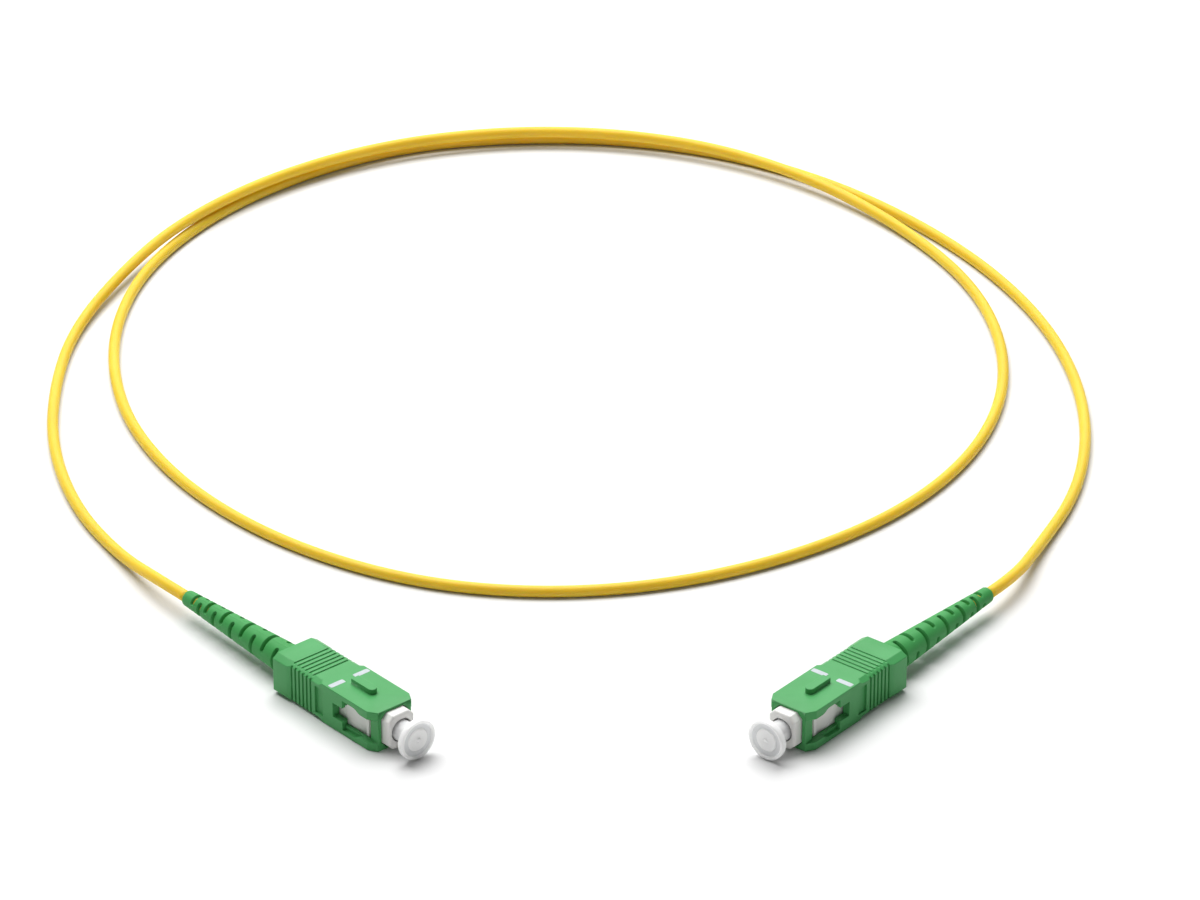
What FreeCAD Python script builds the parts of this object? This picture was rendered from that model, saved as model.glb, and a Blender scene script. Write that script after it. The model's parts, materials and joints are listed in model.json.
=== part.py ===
"""Fiber optic patch cord: a 2 mm cord with an angled push-pull plug on each end.

Each plug is built in its own frame: X forward from the front face of its housing, Y to its
left, Z up from its axis. place() then lays it on the floor of the part's frame, where the
origin is under the middle of the two plugs and the cord's loop lies behind them (+Y).
"""
import FreeCAD, Part
import math
import os

V = FreeCAD.Vector

# Cord
CORD_D = 2.0
BUFFER_D = 0.9
FIBRE_D = 0.125
BUFFER_ROOM = 0.1

# Gaps
SLIDE_GAP = 0.07
STOP_GAP = 0.05
CAP_GAP = 0.03
CAP_SIDE_GAP = 0.2
FLOAT_GAP = 0.15
NOSE_GAP = 0.15
SPRING_GAP = 0.225
SPRING_CORE_GAP = 0.075
COLLAR_GAP = 0.1
BOOT_GAP = 0.15

# Travels
GRIP_FORWARD = 0.8
GRIP_BACK = 0.8
FERRULE_TRAVEL = 1.2

# Housing: outside sizes and walls
HOUSING_W = 8.95
HOUSING_H = 7.36
HOUSING_L = 25.7
SIDE_WALL = 1.375
TOP_WALL = 0.46
NOSE_CHAMFER_L = 1.63
NOSE_CHAMFER_W = 0.95

# Housing: its grip, measured forward from the rear end
FLARE_OUT = 0.225
FLARE_L = 3.3
FLARE_SLOPE_L = 0.95
RIBBED_IN = 0.1
RIBBED_L = 10.5
CORNER_W = 1.15
CORNER_H = 0.74
CORNER_L = 11.7
CORNER_RUN_OUT = 0.9
GROOVE_LAST = 4.55
GROOVE_PITCH = 1.0
GROOVE_COUNT = 6
GROOVE_W = 0.42
GROOVE_SIDE_DEPTH = 0.32
GROOVE_TOP_DEPTH = 0.2
LABEL_FRONT = 12.7
LABEL_L = 2.05
LABEL_H = 4.95
LABEL_DEPTH = 0.4

# Housing, key
KEY_W = 1.6
KEY_H = 0.95
KEY_REAR = 10.15
KEY_L = 5.25

# Housing, side windows
WINDOW_REAR = 10.45
WINDOW_REAR_H = 2.64
WINDOW_STEP = 8.0
WINDOW_MID_H = 5.54
WINDOW_FRONT_H = 4.28
WINDOW_SLOPE_REAR = 5.3
WINDOW_SLOPE_FRONT = 3.2
WINDOW_INNER_REAR = 8.3
WINDOW_LEDGE = 0.65
PILLAR_L = 1.9
PILLAR_IN = 1.0

# Plug frame
FRAME_CHAMFER = 1.0
FRAME_NOSE_W = 5.3
FRAME_NOSE_OUT = 1.8
FRAME_RECESS_START = 8.4
FRAME_RECESS_DEPTH = 0.12
SHOULDER_OUT = 0.12
SHOULDER_L = 0.65
SHOULDER_SIDE_GAP = 0.06
CATCH_DEPTH = 0.4
CATCH_REAR = 6.4
NOSE_BORE_D = 4.1
WEB_START = 2.6
WEB_L = 1.0
LATCH_W = 2.4
LATCH_L = 1.4
LATCH_INSET = 1.1
FRAME_TAIL_L = 1.2

# Ferrule and its flange
FERRULE_D = 2.5
FERRULE_L = 10.5
FERRULE_TIP = 4.35
FERRULE_CONE_L = 0.65
FERRULE_CONE_D = 1.5
TIP_ANGLE = 8.0
COLLAR_L = 1.6
COLLAR_FLAT_DEPTH = 0.25
NECK_L = 1.4
TAIL_D = 1.9
TAIL_L = 4.9

# Spring
WIRE_D = 0.45
SPRING_MEAN_D = 3.8
SPRING_L = 7.0
SPRING_TURNS = 6

# Rear body, yarn and crimp sleeve
BODY_COLLAR_L = 1.1
CRIMP_TAIL_D = 3.0
CRIMP_TAIL_L = 7.6
KNURL_PITCH = 0.9
KNURL_COUNT = 7
KNURL_W = 0.4
KNURL_DEPTH = 0.12
YARN_T = 0.15
CRIMP_L = 6.4
CRIMP_T = 0.22
CRIMP_START_GAP = 0.5

# Boot
BOOT_D = 5.7
BOOT_TIP_D = 2.75
BOOT_L = 28.6
BOOT_FRONT_GAP = 1.6
BOOT_STEP_GAP = 0.2
BOOT_TIP_ROUND = 0.3
SLOT_W = 0.8
SLOT_SPAN = 133.0
SLOT_RINGS = (-0.2, 2.7, 5.9, 8.9, 11.9, 14.8, 17.5, 19.7, 22.0, 23.8, 25.7)
BUFFER_TRAIL = 4.0
BUFFER_LEAD = 0.3

# Dust cap
CAP_ON_FERRULE = 5.25
CAP_END_GAP = 0.15
CAP_FLANGE_D = 7.0
CAP_FLANGE_T = 1.2
CAP_NECK = 0.4
CAP_RIM_D = 6.0
CAP_DISC_D = 3.8
CAP_DISH = 0.35
CAP_NUB_D = 0.9
CAP_NUB_H = 0.2

# Where the plugs lie: front face of the housing, heading of the nose, turn of the boot's slots
PLUGS = {
    "left": {"x": -31.15, "y": -18.0, "heading": -49.0, "slots": 9.5},
    "right": {"x": 32.35, "y": -18.0, "heading": 230.8, "slots": 28.5},
}

# The cord's route between the two boots, chosen by hand from the photographed loop
ROUTE = [
    (-79.4, 41.7, 1.0),
    (-87.9, 57.7, 1.0),
    (-93.6, 79.2, 1.0),
    (-94.8, 101.2, 1.0),
    (-92.9, 122.7, 1.6),
    (-85.7, 143.2, 3.6),
    (-76.3, 161.7, 5.6),
    (-60.5, 179.6, 6.0),
    (-40.3, 193.3, 6.0),
    (-17.9, 199.7, 6.0),
    (4.6, 199.2, 6.0),
    (25.9, 192.2, 6.0),
    (44.3, 179.1, 5.2),
    (59.8, 160.9, 3.2),
    (70.2, 140.2, 1.5),
    (74.4, 117.7, 1.0),
    (73.0, 95.5, 1.0),
    (65.8, 74.4, 1.0),
    (52.9, 55.8, 1.0),
    (34.6, 41.1, 1.0),
    (13.6, 31.7, 1.0),
    (-8.4, 28.8, 1.0),
    (-30.0, 32.8, 1.0),
    (-50.8, 44.9, 1.0),
    (-68.1, 63.1, 1.0),
    (-79.6, 84.6, 1.0),
    (-84.9, 106.7, 1.0),
    (-85.3, 128.2, 1.0),
    (-80.6, 149.2, 1.0),
    (-69.8, 168.9, 1.0),
    (-54.2, 185.7, 1.0),
    (-35.2, 196.8, 1.0),
    (-14.4, 200.1, 1.0),
    (6.6, 199.2, 1.0),
    (26.7, 192.9, 1.0),
    (44.8, 181.3, 1.0),
    (59.9, 166.7, 1.0),
    (72.4, 148.6, 1.0),
    (81.7, 127.8, 1.0),
    (86.6, 106.2, 1.0),
    (87.4, 84.2, 1.0),
    (84.0, 62.8, 1.0),
    (76.1, 43.4, 1.3),
]
ARC_SHARE = 0.45
EXIT_RUN = 7.5

AXIS_Z = HOUSING_H / 2
FRAME_W = HOUSING_W - 2 * (SIDE_WALL + SLIDE_GAP)
FRAME_H = HOUSING_H - 2 * (TOP_WALL + SLIDE_GAP)
FRAME_FRONT = PILLAR_L + GRIP_BACK + STOP_GAP
CHAMBER_D = SPRING_MEAN_D + WIRE_D + 2 * SPRING_GAP
COLLAR_D = CHAMBER_D - 2 * FLOAT_GAP
NECK_D = SPRING_MEAN_D - WIRE_D - 2 * SPRING_CORE_GAP
WEB_REAR = WEB_START + WEB_L
SPRING_FRONT = WEB_REAR + COLLAR_L
BODY_FRONT = SPRING_FRONT + SPRING_L
TAIL_REAR = SPRING_FRONT + NECK_L + TAIL_L
BODY_BORE_REAR = TAIL_REAR + FERRULE_TRAVEL + BUFFER_LEAD
LATCH_REAR = BODY_FRONT + LATCH_INSET + LATCH_L
FRAME_REAR = LATCH_REAR + FRAME_TAIL_L
CAVITY_REAR = FRAME_REAR + GRIP_FORWARD + STOP_GAP
HOLE_D = BOOT_D + 2 * BOOT_GAP
BODY_COLLAR_D = HOLE_D - 2 * COLLAR_GAP
BODY_COLLAR_REAR = FRAME_REAR + BODY_COLLAR_L
CRIMP_TAIL_REAR = BODY_COLLAR_REAR + CRIMP_TAIL_L
CRIMP_FRONT = BODY_COLLAR_REAR + CRIMP_START_GAP
YARN_D = CRIMP_TAIL_D + 2 * YARN_T
CRIMP_D = YARN_D + 2 * CRIMP_T
BOOT_FRONT = CRIMP_FRONT + BOOT_FRONT_GAP
BOOT_TIP = HOUSING_L + BOOT_L
BUFFER_REAR = CRIMP_TAIL_REAR + BUFFER_TRAIL
FLARE_W = HOUSING_W + 2 * FLARE_OUT
RIBBED_W = HOUSING_W - 2 * RIBBED_IN
CORNER_END = HOUSING_L - CORNER_L
LEDGE_Y = FRAME_W / 2 + SLIDE_GAP + WINDOW_LEDGE
CAP_BARREL_D = NOSE_BORE_D - 2 * CAP_SIDE_GAP


def box(x0, x1, y0, y1, z0, z1):
    """Box between two corners."""
    return Part.makeBox(x1 - x0, y1 - y0, z1 - z0, V(x0, y0, z0))


def rod(x0, x1, diameter):
    """Cylinder along the plug's axis."""
    return Part.makeCylinder(diameter / 2, x1 - x0, V(x0, 0, 0), V(1, 0, 0))


def ring(x0, x1, outer, inner):
    """Tube along the plug's axis."""
    return rod(x0, x1, outer).cut(rod(x0, x1, inner))


def polygon(points):
    """Flat face inside a closed run of straight edges."""
    return Part.Face(Part.makePolygon(points + [points[0]]))


def turned(profile):
    """Solid turned about the plug's axis from its half section of (x, radius) points."""
    return polygon([V(x, 0, r) for x, r in profile]).revolve(V(0, 0, 0), V(1, 0, 0), 360)


def octagon(x0, x1, width, height, chamfer):
    """Bar along X whose section is a rectangle with its four corners cut off."""
    w = width / 2
    h = height / 2
    c = chamfer
    half = [(w, h - c), (w - c, h), (c - w, h), (-w, h - c)]
    section = half + [(-y, -z) for y, z in half]
    return polygon([V(x0, y, z) for y, z in section]).extrude(V(x1 - x0, 0, 0))


def solid_of(faces):
    """Solid closed by flat faces, each given by its corners."""
    shell = Part.makeShell([polygon(list(f)) for f in faces])
    solid = Part.makeSolid(shell)
    if solid.Volume < 0:
        solid.reverse()
    return solid


def both_sides(shape):
    """The shape and its mirror image on the other side of the plug."""
    return [shape, shape.mirror(V(0, 0, 0), V(0, 1, 0))]


def corner_cutter(side, face):
    """Wedge that bevels one long corner of the grip and runs out to the sharp front corner."""
    reach = HOUSING_H / 2
    y_top = FLARE_W / 2 - CORNER_W
    z_side = HOUSING_H / 2 - CORNER_H
    length = math.hypot(CORNER_W, CORNER_H)
    along = (CORNER_W / length, -CORNER_H / length)
    out = (CORNER_H / length, CORNER_W / length)
    a = (y_top - along[0] * reach, HOUSING_H / 2 - along[1] * reach)
    b = (FLARE_W / 2 + along[0] * reach, z_side + along[1] * reach)
    c = ((a[0] + b[0]) / 2 + out[0] * reach, (a[1] + b[1]) / 2 + out[1] * reach)
    slope = CORNER_RUN_OUT / ((HOUSING_W / 2 - y_top) * out[0])
    ends = []
    for y, z in (a, b, c):
        depth = reach if (y, z) == c else 0.0
        ends.append((V(-HOUSING_L - 1, side * y, face * z),
                     V(-CORNER_END + slope * depth, side * y, face * z)))
    rear = [e[0] for e in ends]
    front = [e[1] for e in ends]
    faces = [rear, front]
    for i in range(3):
        j = (i + 1) % 3
        faces.append([rear[i], rear[j], front[j], front[i]])
    return solid_of(faces)


def ramp(p0, p1):
    """Two equal arcs that lead level from p0 and end level at p1, as (x, z) points."""
    mid = ((p0[0] + p1[0]) / 2, (p0[1] + p1[1]) / 2)
    dx = mid[0] - p0[0]
    dz = mid[1] - p0[1]
    radius = (dx * dx + dz * dz) / (2 * abs(dz))
    angle = math.asin(abs(dx) / radius) / 2
    step_x = math.copysign(radius * math.sin(angle), dx)
    step_z = math.copysign(radius * (1 - math.cos(angle)), dz)
    first = (p0[0] + step_x, p0[1] + step_z)
    last = (p1[0] - step_x, p1[1] - step_z)
    return [(p0, first, mid), (mid, last, p1)]


def window_outer():
    """Side window through the outer half of the wall, on both sides, open to the nose."""
    low = WINDOW_REAR_H / 2
    mid = WINDOW_MID_H / 2
    front = WINDOW_FRONT_H / 2
    y0 = LEDGE_Y
    pillar_y = HOUSING_W / 2 - PILLAR_IN
    edges = []

    def line(p, q):
        edges.append(Part.LineSegment(V(p[0], y0, p[1]), V(q[0], y0, q[1])).toShape())

    def arcs(p, q):
        for s, m, e in ramp(p, q):
            points = [V(k[0], y0, k[1]) for k in (s, m, e)]
            edges.append(Part.Arc(*points).toShape())

    line((-PILLAR_L, -front), (-PILLAR_L, front))
    line((-PILLAR_L, front), (-WINDOW_SLOPE_FRONT, front))
    arcs((-WINDOW_SLOPE_FRONT, front), (-WINDOW_SLOPE_REAR, mid))
    line((-WINDOW_SLOPE_REAR, mid), (-WINDOW_STEP, mid))
    line((-WINDOW_STEP, mid), (-WINDOW_STEP, low))
    line((-WINDOW_STEP, low), (-WINDOW_REAR, low))
    line((-WINDOW_REAR, low), (-WINDOW_REAR, -low))
    line((-WINDOW_REAR, -low), (-WINDOW_STEP, -low))
    line((-WINDOW_STEP, -low), (-WINDOW_STEP, -mid))
    line((-WINDOW_STEP, -mid), (-WINDOW_SLOPE_REAR, -mid))
    arcs((-WINDOW_SLOPE_REAR, -mid), (-WINDOW_SLOPE_FRONT, -front))
    line((-WINDOW_SLOPE_FRONT, -front), (-PILLAR_L, -front))
    opening = Part.Face(Part.Wire(edges)).extrude(V(0, HOUSING_W, 0))
    nose = box(-PILLAR_L - STOP_GAP, 1, pillar_y, HOUSING_W, -front, front)
    return both_sides(opening) + both_sides(nose)


def window_inner():
    """Side window through the inner half of the wall, straight across the plug."""
    low = WINDOW_REAR_H / 2
    front = WINDOW_FRONT_H / 2
    y = LEDGE_Y + STOP_GAP
    return [box(-WINDOW_REAR, -PILLAR_L, -y, y, -low, low),
            box(-WINDOW_INNER_REAR, -PILLAR_L, -y, y, -front, front)]


def grip_housing():
    """Green push-pull housing: bevelled grip behind, square front with its key and windows."""
    w = HOUSING_W / 2
    h = HOUSING_H / 2
    ribbed = HOUSING_L - RIBBED_L
    flare = HOUSING_L - FLARE_L
    waist = flare - FLARE_SLOPE_L
    plan = [(0, w - NOSE_CHAMFER_W), (-NOSE_CHAMFER_L, w), (-ribbed, w),
            (-waist, RIBBED_W / 2), (-flare, FLARE_W / 2), (-HOUSING_L, FLARE_W / 2)]
    outline = plan + [(x, -y) for x, y in reversed(plan)]
    shape = polygon([V(x, y, -h) for x, y in outline]).extrude(V(0, 0, HOUSING_H))
    cutters = [corner_cutter(s, f) for s in (1, -1) for f in (1, -1)]
    for i in range(GROOVE_COUNT):
        x = -HOUSING_L + GROOVE_LAST + i * GROOVE_PITCH
        x0 = x - GROOVE_W / 2
        x1 = x + GROOVE_W / 2
        side_y = w - RIBBED_IN * (-x - ribbed) / (waist - ribbed)
        cutters += both_sides(box(x0, x1, side_y - GROOVE_SIDE_DEPTH, FLARE_W, -h, h))
        cutters.append(box(x0, x1, -FLARE_W, FLARE_W, h - GROOVE_TOP_DEPTH, h + 1))
        cutters.append(box(x0, x1, -FLARE_W, FLARE_W, -h - 1, GROOVE_TOP_DEPTH - h))
    label = LABEL_FRONT - HOUSING_L
    cutters += both_sides(box(label - LABEL_L, label, w - LABEL_DEPTH, FLARE_W,
                              -LABEL_H / 2, LABEL_H / 2))
    cutters.append(octagon(-CAVITY_REAR, -PILLAR_L, FRAME_W + 2 * SLIDE_GAP,
                           FRAME_H + 2 * SLIDE_GAP, FRAME_CHAMFER))
    cutters.append(octagon(-PILLAR_L, 1, FRAME_NOSE_W + 2 * NOSE_GAP,
                           FRAME_H + 2 * SLIDE_GAP, FRAME_CHAMFER))
    cutters.append(rod(-HOUSING_L - 1, -CAVITY_REAR, HOLE_D))
    cutters += window_outer()
    cutters += window_inner()
    shape = shape.cut(cutters)
    nose = KEY_REAR - KEY_L + KEY_W / 2
    key = box(-KEY_REAR, -nose, -KEY_W / 2, KEY_W / 2, h - SLIDE_GAP, h + KEY_H)
    front = Part.makeCylinder(KEY_W / 2, KEY_H + SLIDE_GAP, V(-nose, 0, h - SLIDE_GAP))
    return shape.fuse([key, front]).removeSplitter()


def plug_frame():
    """White inner frame: nose with its bore, latch shoulders, web and the spring's chamber."""
    body = octagon(-FRAME_REAR, -FRAME_FRONT, FRAME_W, FRAME_H, FRAME_CHAMFER)
    nose = octagon(-FRAME_FRONT, FRAME_NOSE_OUT, FRAME_NOSE_W, FRAME_H, FRAME_CHAMFER)
    z = WINDOW_FRONT_H / 2 - SHOULDER_SIDE_GAP
    shoulder = box(-FRAME_FRONT - SHOULDER_L, -FRAME_FRONT, FRAME_W / 2 - SHOULDER_OUT,
                   FRAME_W / 2 + SHOULDER_OUT, -z, z)
    shape = body.fuse([nose] + both_sides(shoulder))
    cutters = both_sides(box(-FRAME_REAR, -FRAME_RECESS_START, FRAME_W / 2 - FRAME_RECESS_DEPTH,
                             FRAME_W, -FRAME_H, FRAME_H))
    foot = -FRAME_FRONT - SHOULDER_L
    deep = FRAME_W / 2 - CATCH_DEPTH
    slope = CATCH_DEPTH / (CATCH_REAR + foot)
    catch = [(foot, deep), (foot, FRAME_W), (-CATCH_REAR - FRAME_W / 2 / slope, FRAME_W)]
    catch = polygon([V(x, y, -FRAME_H / 2) for x, y in catch]).extrude(V(0, 0, FRAME_H))
    cutters += both_sides(catch)
    cutters.append(rod(-WEB_START, FRAME_NOSE_OUT + 1, NOSE_BORE_D))
    cutters.append(rod(-WEB_REAR, -WEB_START, FERRULE_D + 2 * FLOAT_GAP))
    cutters.append(rod(-FRAME_REAR - 1, -WEB_REAR, CHAMBER_D))
    cutters.append(latch_bar(FRAME_H))
    return shape.cut(cutters).removeSplitter()


def latch_bar(height):
    """Bar across the plug, top to bottom, where the rear body snaps into the frame."""
    return box(-LATCH_REAR, -LATCH_REAR + LATCH_L, -LATCH_W / 2, LATCH_W / 2,
               -height / 2, height / 2)


def tip_plane_cutter():
    """Block in front of the slanted end face of the ferrule."""
    block = box(0, 4, -4, 4, -4, 4)
    block.rotate(V(0, 0, 0), V(0, 1, 0), -TIP_ANGLE)
    block.translate(V(FERRULE_TIP, 0, 0))
    return block


def ferrule():
    """Ceramic ferrule with its fibre bore, coned tip and slanted end face."""
    rear = FERRULE_TIP - FERRULE_L
    r = FERRULE_D / 2
    lead = 0.3
    profile = [(rear, FIBRE_D / 2), (rear, r - lead / 2), (rear + lead / 2, r),
               (FERRULE_TIP - FERRULE_CONE_L, r),
               (FERRULE_TIP + lead, FERRULE_CONE_D / 2 - lead / 2), (FERRULE_TIP + lead, FIBRE_D / 2)]
    return turned(profile).cut(tip_plane_cutter())


def ferrule_flange():
    """Flange pressed on the ferrule: collar with two flats, neck and tail tube."""
    front = -WEB_REAR
    neck = -SPRING_FRONT
    tail = neck - NECK_L
    end = -TAIL_REAR
    z = COLLAR_D / 2 - COLLAR_FLAT_DEPTH
    collar = rod(neck, front, COLLAR_D).common(box(neck, front, -COLLAR_D, COLLAR_D, -z, z))
    shape = collar.fuse([rod(tail, neck, NECK_D), rod(end, tail, TAIL_D)])
    pocket = rod(FERRULE_TIP - FERRULE_L, front, FERRULE_D)
    bore = rod(end, FERRULE_TIP - FERRULE_L, BUFFER_D)
    return shape.cut([pocket, bore]).removeSplitter()


def fibre():
    """Bare glass fibre from the ferrule's end face back into its buffer."""
    rear = FERRULE_TIP - FERRULE_L
    return rod(rear, FERRULE_TIP + 1, FIBRE_D).cut(tip_plane_cutter())


def fibre_buffer():
    """Tight buffer from the ferrule's rear through the rear body into the jacket."""
    rear = FERRULE_TIP - FERRULE_L
    return rod(-BUFFER_REAR, rear, BUFFER_D)


def biarc(p0, t0, p1, t1):
    """Two arcs that leave p0 along t0, meet smoothly and reach p1 along t1."""
    v = p1.sub(p0)
    t = t0.add(t1)
    k = 2 * (1 - t0.dot(t1))
    d = (math.sqrt(v.dot(t) ** 2 + k * v.dot(v)) - v.dot(t)) / k
    q0 = p0.add(V(t0).multiply(d))
    q1 = p1.sub(V(t1).multiply(d))
    middle = q0.add(q1).multiply(0.5)
    edges = []
    for start, corner, end in ((p0, q0, middle), (middle, q1, p1)):
        chord = start.add(end).multiply(0.5)
        half = math.acos(min(1.0, start.distanceToPoint(end) / (2 * d)))
        share = math.tan(half / 2) / math.tan(half)
        crown = chord.add(corner.sub(chord).multiply(share))
        edges.append(Part.Arc(start, crown, end).toShape())
    return edges


def ferrule_spring():
    """Helical spring between the flange's collar and the rear body, its end turns ground flat."""
    radius = SPRING_MEAN_D / 2
    pitch = SPRING_L / SPRING_TURNS
    steps = SPRING_TURNS * 4

    def at(i):
        a = i * math.pi / 2
        point = V(-BODY_FRONT + pitch * i / 4, radius * math.cos(a), radius * math.sin(a))
        way = V(pitch / (2 * math.pi), -radius * math.sin(a), radius * math.cos(a))
        return point, way.normalize()

    edges = []
    for i in range(steps):
        p0, t0 = at(i)
        p1, t1 = at(i + 1)
        edges += biarc(p0, t0, p1, t1)
    start, way = at(0)
    section = Part.Wire([Part.Circle(start, way, WIRE_D / 2).toShape()])
    path = Part.Wire(edges)
    spring = path.makePipeShell([section], True, False)
    slab = box(-BODY_FRONT, -SPRING_FRONT, -radius * 2, radius * 2, -radius * 2, radius * 2)
    points = path.discretize(Number=SPRING_TURNS * 36 + 1)
    gaps = [p.distanceToPoint(q) for i, p in enumerate(points) for q in points[i + 18:]]
    print("spring: least gap between turns %.2f mm" % (min(gaps) - WIRE_D))
    return spring.common(slab)


def rear_body():
    """Rear body: stop for the spring, latch tabs, collar and knurled crimp tail."""
    front = rod(-FRAME_REAR, -BODY_FRONT, CHAMBER_D)
    tabs = latch_bar(FRAME_H)
    collar = rod(-BODY_COLLAR_REAR, -FRAME_REAR, BODY_COLLAR_D)
    tail = rod(-CRIMP_TAIL_REAR, -BODY_COLLAR_REAR, CRIMP_TAIL_D)
    cutters = [rod(-BODY_BORE_REAR, -BODY_FRONT, TAIL_D + 2 * FLOAT_GAP),
               rod(-CRIMP_TAIL_REAR, -BODY_FRONT, BUFFER_D + 2 * BUFFER_ROOM)]
    for i in range(KNURL_COUNT):
        x = -CRIMP_FRONT - (i + 0.5) * KNURL_PITCH
        cutters.append(ring(x - KNURL_W / 2, x + KNURL_W / 2, CRIMP_TAIL_D + 1,
                            CRIMP_TAIL_D - 2 * KNURL_DEPTH))
    return front.fuse([tabs, collar, tail]).cut(cutters).removeSplitter()


def aramid_yarn():
    """Yarn folded back over the crimp tail and held by the crimp sleeve."""
    return ring(-CRIMP_FRONT - CRIMP_L, -CRIMP_FRONT, YARN_D, CRIMP_TAIL_D)


def crimp_sleeve():
    """Metal sleeve crimped over the yarn."""
    return ring(-CRIMP_FRONT - CRIMP_L, -CRIMP_FRONT, CRIMP_D, YARN_D)


def jacket_end():
    """The cord's jacket inside the boot, bored where the buffer slides."""
    bore = rod(-BUFFER_REAR - FERRULE_TRAVEL - BUFFER_LEAD, -CRIMP_TAIL_REAR,
               BUFFER_D + 2 * BUFFER_ROOM)
    return rod(-BOOT_TIP, -CRIMP_TAIL_REAR, CORD_D).cut(bore)


def slot_cutter(x, turn):
    """Two opposite round-ended slots of one ring, each SLOT_SPAN degrees wide on the boot's
    surface; turn runs from +Y to +Z."""
    outer = BOOT_D
    taper = min(1.0, max(0.0, (-x - HOUSING_L) / BOOT_L))
    surface = (BOOT_D + (BOOT_TIP_D - BOOT_D) * taper) / 2
    half = SLOT_SPAN / 2 - math.degrees(SLOT_W / 2 / surface)
    blocks = []
    for centre in (turn, turn + 180):
        wedge = Part.makeCylinder(outer, SLOT_W, V(0, 0, 0), V(0, 0, 1), 2 * half)
        wedge.rotate(V(0, 0, 0), V(0, 0, 1), centre - half)
        wedge.rotate(V(0, 0, 0), V(1, 1, 1), 120)
        wedge.translate(V(x - SLOT_W / 2, 0, 0))
        blocks.append(wedge)
        for end in (centre - half, centre + half):
            a = math.radians(end)
            blocks.append(Part.makeCylinder(SLOT_W / 2, outer, V(x, 0, 0),
                                            V(0, math.cos(a), math.sin(a))))
    return blocks


def boot(slot_turn):
    """Tapered strain relief with rings of slots that alternate by a quarter turn."""
    r0 = BOOT_D / 2
    r1 = BOOT_TIP_D / 2
    bore_r = CORD_D / 2
    step = CRIMP_TAIL_REAR + BOOT_STEP_GAP
    front = BOOT_FRONT
    profile = [(-front, CRIMP_D / 2), (-front, r0), (-HOUSING_L, r0),
               (-BOOT_TIP + BOOT_TIP_ROUND, r1 + BOOT_TIP_ROUND * (r0 - r1) / BOOT_L),
               (-BOOT_TIP, r1 - BOOT_TIP_ROUND), (-BOOT_TIP, bore_r), (-step, bore_r),
               (-step, CRIMP_D / 2)]
    shape = turned(profile)
    cutters = []
    for i, back in enumerate(SLOT_RINGS):
        turn = slot_turn + (0 if i % 2 else 90)
        cutters += slot_cutter(-HOUSING_L - back, turn)
    return shape.cut(cutters)


def dust_cap():
    """Clear cap: a thin barrel on the ferrule and a dished flange to hold it by."""
    bore_r = FERRULE_D / 2 + CAP_GAP
    rear = FERRULE_TIP - CAP_ON_FERRULE
    blind = FERRULE_TIP + CAP_END_GAP
    back = blind + CAP_NECK
    front = back + CAP_FLANGE_T
    barrel_r = CAP_BARREL_D / 2
    lip = 0.15
    rim = CAP_FLANGE_D / 2
    profile = [(blind, 0), (blind, bore_r), (rear, bore_r), (rear, barrel_r - lip),
               (rear + lip, barrel_r), (back, barrel_r), (back, rim - lip), (back + lip, rim),
               (front - lip, rim), (front, rim - lip), (front, CAP_RIM_D / 2),
               (front - CAP_DISH, CAP_RIM_D / 2 - lip), (front - CAP_DISH, CAP_DISC_D / 2 + lip),
               (front - lip, CAP_DISC_D / 2), (front - lip, CAP_NUB_D / 2),
               (front - lip + CAP_NUB_H, CAP_NUB_D / 2 - lip), (front - lip + CAP_NUB_H, 0)]
    return turned(profile)


def place(shape, plug):
    """Lay a piece of the plug's own frame where that plug lies."""
    moved = shape.copy()
    moved.rotate(V(0, 0, 0), V(0, 0, 1), plug["heading"])
    moved.translate(V(plug["x"], plug["y"], AXIS_Z))
    return moved


def behind(plug, distance):
    """Point on the plug's axis, the distance behind the housing's front face."""
    a = math.radians(plug["heading"])
    return V(plug["x"] - distance * math.cos(a), plug["y"] - distance * math.sin(a), AXIS_Z)


def cord():
    """Free stretch of the cord: straight runs joined by arcs as large as the runs allow."""
    first = [behind(PLUGS["left"], BOOT_TIP), behind(PLUGS["left"], BOOT_TIP + EXIT_RUN)]
    last = [behind(PLUGS["right"], BOOT_TIP + EXIT_RUN), behind(PLUGS["right"], BOOT_TIP)]
    points = first + [V(*p) for p in ROUTE] + last
    edges = []
    radii = []
    at = points[0]
    for before, corner, after in zip(points, points[1:], points[2:]):
        back = before.sub(corner)
        ahead = after.sub(corner)
        run = min(back.Length, ahead.Length)
        back.normalize()
        ahead.normalize()
        half = (math.pi - back.getAngle(ahead)) / 2
        reach = ARC_SHARE * run
        radius = reach / math.tan(half)
        start = corner.add(V(back).multiply(reach))
        end = corner.add(V(ahead).multiply(reach))
        inward = back.add(ahead).normalize()
        crown = corner.add(inward.multiply(radius / math.cos(half) - radius))
        edges.append(Part.LineSegment(at, start).toShape())
        edges.append(Part.Arc(start, crown, end).toShape())
        radii.append(radius)
        at = end
    edges.append(Part.LineSegment(at, points[-1]).toShape())
    path = Part.Wire(edges)
    section = Part.Wire([Part.Circle(points[0], points[1].sub(points[0]), CORD_D / 2).toShape()])
    tube = path.makePipeShell([section], True, False)
    area = math.pi * CORD_D * CORD_D / 4
    print("cord length %.1f mm, radii %.0f to %.0f mm" % (path.Length, min(radii), max(radii)))
    print("cord volume %.1f, section x length %.1f" % (tube.Volume, area * path.Length))
    return tube


def save(name, shape):
    """Write one node, and print what it measures."""
    b = shape.BoundBox
    shape.exportStep("parts/%s.step" % name)
    print("%-22s %2d solid, %8.2f mm3, X %.2f..%.2f Y %.2f..%.2f Z %.2f..%.2f valid %s" % (
        name, len(shape.Solids), shape.Volume, b.XMin, b.XMax, b.YMin, b.YMax, b.ZMin, b.ZMax,
        shape.isValid()))


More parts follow.
